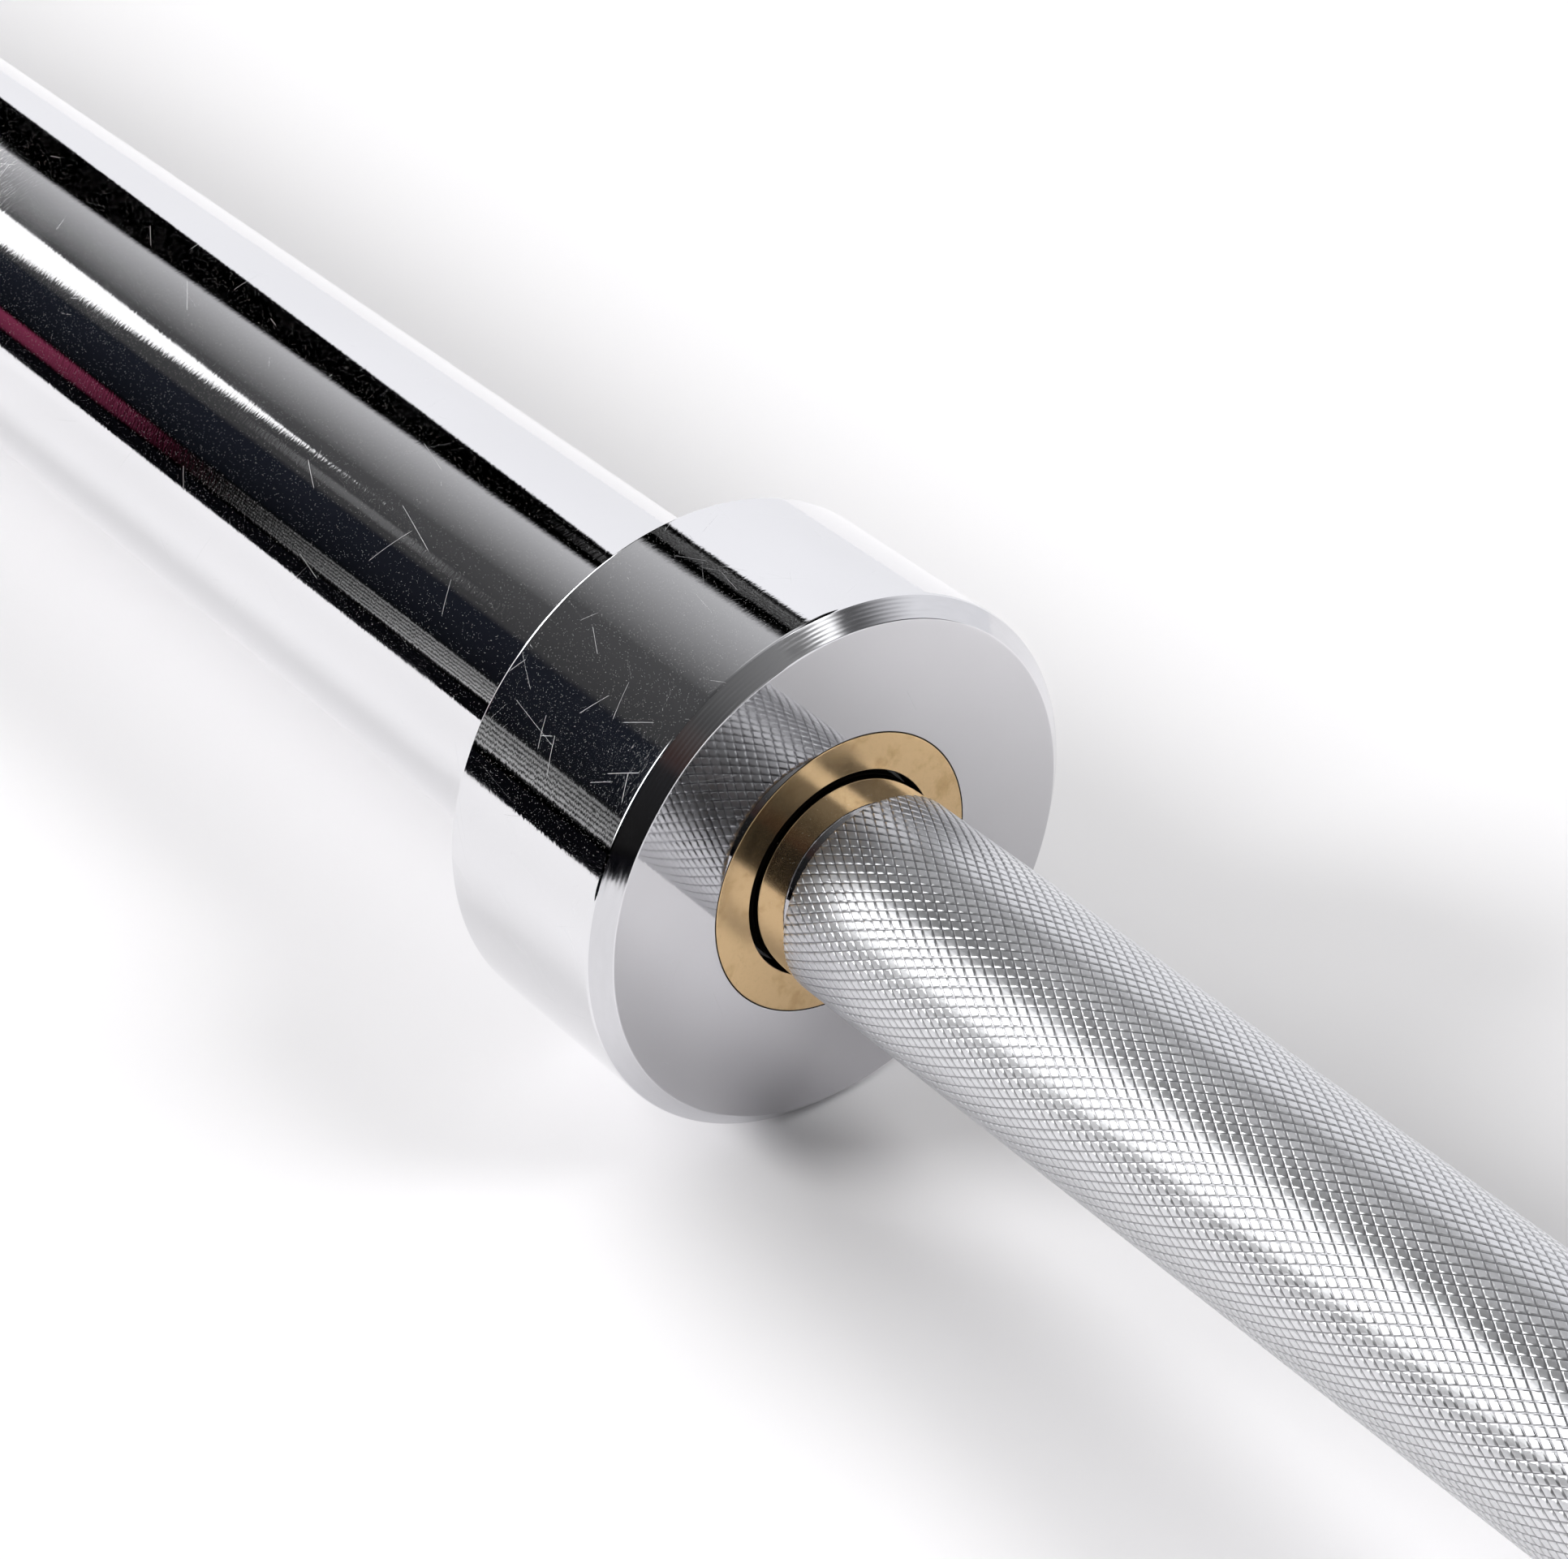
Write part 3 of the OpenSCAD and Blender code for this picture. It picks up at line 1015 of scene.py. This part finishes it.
    def end_cap(self) -> None:
        """Builds the dished disc that closes the sleeve's mouth."""
        dish = self.cap_end - self.dish_depth
        outline = [
            Corner(self.mouth, 0.0),
            Corner(self.mouth, self.mouth_r),
            Corner(self.cap_end - 0.6, self.mouth_r, 0.1),
            Corner(self.cap_end, self.mouth_r - 0.6, 0.1),
            Corner(self.cap_end, self.dish_r, 0.25),
            Corner(dish, self.dish_r, 0.25),
            Corner(dish, 2.5, 0.1),
            Corner(dish - 1.5, 0.0),
        ]
        piece = TurnedPiece(self.name("end_cap_disc"), outline, steps=192)
        obj = settle(piece.shape(), piece.name, self.side, [self.finishes.get("cap")])
        hand_over(obj, self.body, "cap_chrome", self.name("end_cap"))

    def hidden_pieces(self) -> None:
        """Dresses the solids that stay as they are."""
        finish_of = {
            "outer_bushing": "brass",
            "inner_thrust_washer": "washer",
            "outer_thrust_washer": "washer",
            "shaft_snap_ring": "spring",
            "bushing_snap_ring": "spring",
            "cap_snap_ring": "spring",
        }
        for piece, finish in finish_of.items():
            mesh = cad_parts[self.name(piece)].data
            mesh.materials.clear()
            mesh.materials.append(self.finishes.get(finish))
            log.info("%s keeps its solid, in %s", self.name(piece), finish)

    @property
    def body(self) -> str:
        """The body that this sleeve's pieces ride on."""
        return self.name("sleeve")

    def build(self) -> None:
        """Builds and dresses the whole sleeve."""
        self.collar()
        self.tube()
        self.inner_bush()
        self.end_cap()
        self.hidden_pieces()


@dataclass(frozen=True)
class Card:
    """A card in the light tent, seen only in reflections.

    Angles are in degrees round the bar: 0 is level on the camera's side and 90 is overhead.
    Distances along the bar are in metres from its middle, towards the ends that reach names.
    From slant_from on, the card's two long edges run off by the slants, in degrees a metre.
    """

    start: float
    end: float
    glow_start: float
    glow_end: float
    near: float = 0.0
    far: float = 9.0
    tint: Colour = (1.0, 1.0, 1.0)
    edge: float = 1.0
    side_edge: float = 0.1
    slant_from: float = 0.0
    start_slant: float = 0.0
    end_slant: float = 0.0
    slats: float = 0.0
    reach: Reach = Reach.BOTH


@dataclass(frozen=True)
class Lamp:
    """A soft distant lamp, placed by its direction in degrees.

    The turn is counted from the bar's right end towards the back, and the height from the level.
    """

    name: str
    around: float
    height: float
    width: float
    energy: float

    def hang(self) -> None:
        """Puts the lamp into the scene."""
        light = bpy.data.lights.new(self.name, "SUN")
        light.energy = self.energy
        light.angle = math.radians(self.width)
        lamp = bpy.data.objects.new(self.name, light)
        tilt = Euler((0.0, math.radians(90.0 - self.height), math.radians(self.around)))
        lamp.rotation_euler = tilt
        lamp.visible_glossy = False
        bpy.context.scene.collection.objects.link(lamp)


@dataclass
class Studio:
    """The pale floor, the lamps, the light tent and the camera.

    Lengths are in metres. Between the tent's gap_middle plus or minus its gap_half, the cards that
    aren't the right end's own glow with only gap_glow of their strength.
    """

    floor_z: float = -0.037
    paper: Colour = (0.865, 0.855, 0.868)
    # The floor's colour in its painted shadow by the collars, seen only in reflections
    corner_painted_shade: Colour = (0.72, 0.71, 0.73)
    paper_glow: float = 0.05
    fill: float = 0.02
    flag_height: float = 0.052
    flag_away: float = 0.30
    lens: float = 89.35
    camera_place: tuple[float, float, float] = (-0.35075, -0.24419, 0.28129)
    camera_tilt: float = 55.582
    camera_turn: float = 52.295
    tent_r: float = 1.5
    tent_half: float = 9.0
    gap_middle: float = 0.7
    gap_half: float = 0.6
    gap_edge: float = 0.2
    gap_glow: float = 0.12
    cards: tuple[Card, ...] = (
        Card(123.0, 187.0, 1.1, 1.0, tint=(0.97, 0.97, 1.0), edge=0.7, slant_from=2.06, start_slant=27.0),
        Card(72.0, 109.5, 0.085, 0.56, edge=2.0, tint=(0.98, 0.98, 1.0)),
        Card(46.0, 72.0, 0.045, 0.08, edge=2.0, tint=(0.97, 0.97, 1.0)),
        Card(16.0, 46.0, 0.005, 0.016, edge=2.0, tint=(0.75, 0.87, 1.25)),
        Card(64.6, 63.8, 1.3, 1.3, near=2.37, edge=0.6, side_edge=0.03, slant_from=2.39, start_slant=-30.0,
             end_slant=12.5),
        Card(51.0, 56.0, 0.07, 0.1, near=2.25, far=2.46, edge=1.0, side_edge=0.06),
        Card(3.5, 15.5, 0.55, 0.3, near=1.9, far=2.35, edge=0.7, side_edge=0.2, slats=6.0),
        Card(115.5, 121.0, 0.12, 0.2, near=1.9, far=2.14, edge=0.5, side_edge=0.05, slats=4.0),
        Card(3.0, 14.0, 0.12, 0.2, near=2.67, edge=1.5, side_edge=0.12, tint=(1.0, 0.16, 0.36),
             reach=Reach.LEFT),
        Card(14.0, 46.0, 5.4, 5.4, near=1.0, far=1.83, edge=6.0, side_edge=0.12, reach=Reach.LEFT),
        Card(84.0, 116.0, 0.3, 0.3, near=1.0, far=1.75, edge=8.0, side_edge=0.15, reach=Reach.LEFT),
        Card(42.0, 112.0, 8.5, 8.5, near=3.1, far=8.6, edge=6.0, side_edge=0.15, reach=Reach.LEFT),
        Card(106.0, 128.0, 2.5, 2.5, near=0.02, far=0.5, edge=4.0, side_edge=0.1, reach=Reach.RIGHT),
        Card(45.0, 122.0, 0.0, 0.27, near=0.2, edge=3.0, reach=Reach.RIGHT),
        Card(42.0, 62.0, 0.05, 0.02, near=0.2, edge=4.0, tint=(1.0, 0.5, 0.42), reach=Reach.RIGHT),
        Card(2.0, 45.0, 0.012, 0.022, near=0.2, edge=3.0, reach=Reach.RIGHT),
    )

    lamps: tuple[Lamp, ...] = (
        Lamp("front_left_key", around=240.0, height=30.0, width=22.0, energy=2.55),
        Lamp("left_end_key", around=202.0, height=25.0, width=24.0, energy=1.75),
        Lamp("left_end_fill", around=180.0, height=24.0, width=28.0, energy=1.15),
        Lamp("back_right_fill", around=40.0, height=50.0, width=24.0, energy=1.3),
        Lamp("back_left_fill", around=122.0, height=13.0, width=20.0, energy=0.95),
    )

    def light_tent(self) -> None:
        """Builds the tent round the bar, whose cards only show in reflections."""
        bm = bmesh.new()
        first = bm.verts.new((-self.tent_half, -self.tent_r, self.floor_z))
        second = bm.verts.new((self.tent_half, -self.tent_r, self.floor_z))
        edge = bm.edges.new((first, second))
        bmesh.ops.spin(bm, geom=[first, second, edge], cent=(0, 0, self.floor_z), axis=(1, 0, 0),
                       angle=-math.pi, steps=96)
        tent = settle(bm, "light_tent", Side.RIGHT, [self.tent_material()])
        only_mirrored(tent)

    def tent_material(self) -> bpy.types.Material:
        """Lays the cards out on the tent.

        Returns:
            The glowing material.
        """
        r = Recipe("tent_cards")
        angle = r.math("DEGREES", r.math("ARCTAN2", r.axis("Z"), r.math("MULTIPLY", r.axis("Y"), -1.0)))
        turned = r.math("ADD", angle, r.math("MULTIPLY", r.math("LESS_THAN", angle, -90.0), 360.0))
        along = {
            Reach.BOTH: r.math("ABSOLUTE", r.axis("X")),
            Reach.LEFT: r.math("MULTIPLY", r.axis("X"), -1.0),
            Reach.RIGHT: r.axis("X"),
        }
        from_gap = r.math("ABSOLUTE", r.math("SUBTRACT", r.axis("X"), self.gap_middle))
        dimmed = r.span(from_gap, self.gap_half - self.gap_edge, self.gap_half + self.gap_edge,
                        self.gap_glow, 1.0)
        total: Optional[Socket] = None
        for card in self.cards:
            glow = self.card_glow(r, card, turned, along[card.reach])
            if card.reach is not Reach.RIGHT:
                glow = r.math("MULTIPLY", glow, dimmed)
            shade = r.add("ShaderNodeVectorMath", operation="SCALE")
            shade.inputs[0].default_value = card.tint
            r.feed(shade.inputs["Scale"], glow)
            if total is None:
                total = shade.outputs[0]
            else:
                sum_up = r.add("ShaderNodeVectorMath", operation="ADD")
                r.feed(sum_up.inputs[0], total)
                r.feed(sum_up.inputs[1], shade.outputs[0])
                total = sum_up.outputs[0]
        depth = r.add("ShaderNodeLightPath").outputs["Diffuse Depth"]
        light = r.add("ShaderNodeEmission")
        r.feed(light.inputs["Color"], total)
        r.feed(light.inputs["Strength"], r.math("LESS_THAN", depth, 0.5))
        r.feed(r.output.inputs["Surface"], light.outputs[0])
        return r.material

    @staticmethod
    def card_glow(r: Recipe, card: Card, angle: Socket, along: Socket) -> Socket:
        """Works out one card's glow.

        Args:
            r: The tent's recipe.
            card: The card.
            angle: The angle round the bar, in degrees.
            along: The distance from the bar's middle, in metres.

        Returns:
            The glow, 0 outside the card.
        """
        past = r.math("MAXIMUM", r.math("SUBTRACT", along, card.slant_from), 0.0)
        above = r.math("SUBTRACT", angle, r.math("MULTIPLY_ADD", past, card.start_slant, card.start))
        below = r.math("SUBTRACT", r.math("MULTIPLY_ADD", past, card.end_slant, card.end), angle)
        rising = r.span(above, -card.edge, card.edge)
        falling = r.span(below, -card.edge, card.edge)
        inner = r.span(along, card.near - card.side_edge, card.near + card.side_edge) if card.near else 1.0
        outer = r.span(along, card.far - card.side_edge, card.far + card.side_edge, 1.0, 0.0)
        shape = r.math("MULTIPLY", r.math("MULTIPLY", rising, falling), r.math("MULTIPLY", inner, outer))
        width = abs(card.end - card.start)
        way = r.math("DIVIDE", r.math("SUBTRACT", angle, card.start), width, clamp=True)
        glow = r.math("MULTIPLY_ADD", way, card.glow_end - card.glow_start, card.glow_start)
        if card.slats:
            wave = r.math("SINE", r.math("MULTIPLY", angle, FULL_TURN * card.slats / width))
            glow = r.math("MULTIPLY", glow, r.math("MULTIPLY_ADD", wave, 0.5, 0.5))
        return r.math("MULTIPLY", shape, glow)

    def front_flag(self) -> None:
        """Stands a low dark card in front of the bar, where the pale floor ends in its reflection."""
        bm = bmesh.new()
        bmesh.ops.create_grid(bm, x_segments=1, y_segments=1, size=0.5)
        bmesh.ops.scale(bm, vec=(2 * self.tent_half, self.flag_height, 1), verts=bm.verts)
        bmesh.ops.rotate(bm, cent=(0, 0, 0), matrix=Matrix.Rotation(math.pi / 2, 3, "X"), verts=bm.verts)
        middle = self.floor_z + self.flag_height / 2
        bmesh.ops.translate(bm, vec=(0, -self.flag_away, middle), verts=bm.verts)
        r = Recipe("flag_black")
        light = r.add("ShaderNodeEmission")
        light.inputs["Color"].default_value = (0.002, 0.002, 0.003, 1)
        r.feed(r.output.inputs["Surface"], light.outputs[0])
        flag = settle(bm, "front_flag", Side.RIGHT, [r.material])
        only_mirrored(flag)

    def floor(self) -> None:
        """Lays the pale floor, which keeps the bar's shadow.

        In reflections only, the floor is painted darker in the corner between the shaft and a collar's
        face: a painted shadow, which the shaft and the face mirror.
        """
        bm = bmesh.new()
        bmesh.ops.create_grid(bm, x_segments=1, y_segments=1, size=30)
        bmesh.ops.translate(bm, vec=(0, 0, self.floor_z), verts=bm.verts)
        r = Recipe("floor_paper")
        paper = r.add("ShaderNodeBsdfDiffuse")
        beside = r.math("ABSOLUTE", r.axis("X"))
        # The painted shadow's reach in metres: along the bar up to the collar's face, and out from under it
        nearing = r.span(beside, 0.595, 0.64)
        ending = r.span(beside, 0.655, 0.662, 1.0, 0.0)
        near_collar = r.math("MULTIPLY", nearing, ending)
        under_bar = r.span(r.math("ABSOLUTE", r.axis("Y")), 0.01, 0.07, 1.0, 0.0)
        mirrored = r.add("ShaderNodeLightPath").outputs["Is Glossy Ray"]
        # Painted shadow: the floor's colour darkens here for reflections only
        painted_shadow = r.math("MULTIPLY", r.math("MULTIPLY", near_collar, under_bar), mirrored)
        r.feed(paper.inputs["Color"], r.blend(painted_shadow, self.paper, self.corner_painted_shade))
        seen = self.seen(r)
        glow = r.add("ShaderNodeEmission")
        glow.inputs["Color"].default_value = (1, 1, 1, 1)
        r.feed(glow.inputs["Strength"], r.math("MULTIPLY", seen, self.paper_glow))
        both = r.add("ShaderNodeAddShader")
        r.feed(both.inputs[0], paper.outputs[0])
        r.feed(both.inputs[1], glow.outputs[0])
        r.feed(r.output.inputs["Surface"], both.outputs[0])
        settle(bm, "floor", Side.RIGHT, [r.material])

    @staticmethod
    def seen(r: Recipe) -> Socket:
        """Gives 1 for rays from the camera or a reflection, and 0 for the light that fills the scene."""
        path = r.add("ShaderNodeLightPath")
        shown = r.math("ADD", path.outputs["Is Camera Ray"], path.outputs["Is Glossy Ray"])
        return r.math("ADD", shown, path.outputs["Is Transmission Ray"], clamp=True)

    def world(self) -> None:
        """Sets a white surround that lights the floor softly."""
        world = bpy.data.worlds.new("studio")
        world.use_nodes = True
        tree = world.node_tree
        tree.nodes.clear()
        path = tree.nodes.new("ShaderNodeLightPath")
        seen = tree.nodes.new("ShaderNodeMath")
        seen.operation = "ADD"
        tree.links.new(path.outputs["Is Camera Ray"], seen.inputs[0])
        tree.links.new(path.outputs["Is Transmission Ray"], seen.inputs[1])
        white = tree.nodes.new("ShaderNodeBackground")
        white.inputs["Color"].default_value = (1, 1, 1, 1)
        fill = tree.nodes.new("ShaderNodeBackground")
        fill.inputs["Color"].default_value = (1.0, 1.0, 1.0, 1)
        fill.inputs["Strength"].default_value = self.fill
        mix = tree.nodes.new("ShaderNodeMixShader")
        tree.links.new(seen.outputs[0], mix.inputs[0])
        tree.links.new(fill.outputs[0], mix.inputs[1])
        tree.links.new(white.outputs[0], mix.inputs[2])
        output = tree.nodes.new("ShaderNodeOutputWorld")
        tree.links.new(mix.outputs[0], output.inputs["Surface"])
        bpy.context.scene.world = world

    def camera(self) -> None:
        """Sets the camera at the photograph's angle."""
        data = bpy.data.cameras.new("camera")
        data.lens = self.lens
        data.sensor_width = 36.0
        data.clip_start = 0.01
        data.clip_end = 100.0
        camera = bpy.data.objects.new("camera", data)
        camera.location = self.camera_place
        camera.rotation_euler = Euler((math.radians(self.camera_tilt), 0.0, math.radians(self.camera_turn)))
        bpy.context.scene.collection.objects.link(camera)
        bpy.context.scene.camera = camera

    def build(self) -> None:
        """Builds the whole studio."""
        self.floor()
        self.light_tent()
        self.front_flag()
        self.world()
        for lamp in self.lamps:
            lamp.hang()
        self.camera()
        bpy.context.scene.view_settings.view_transform = "Standard"


def main() -> None:
    """Builds the barbell and its studio."""
    logging.basicConfig(level=logging.INFO, format="%(name)s: %(message)s")
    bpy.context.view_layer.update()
    finishes = Finishes()
    Studio().build()
    Shaft(finishes).build()
    for side in Side:
        Sleeve(side, finishes).build()


if __name__ == "__main__":
    main()
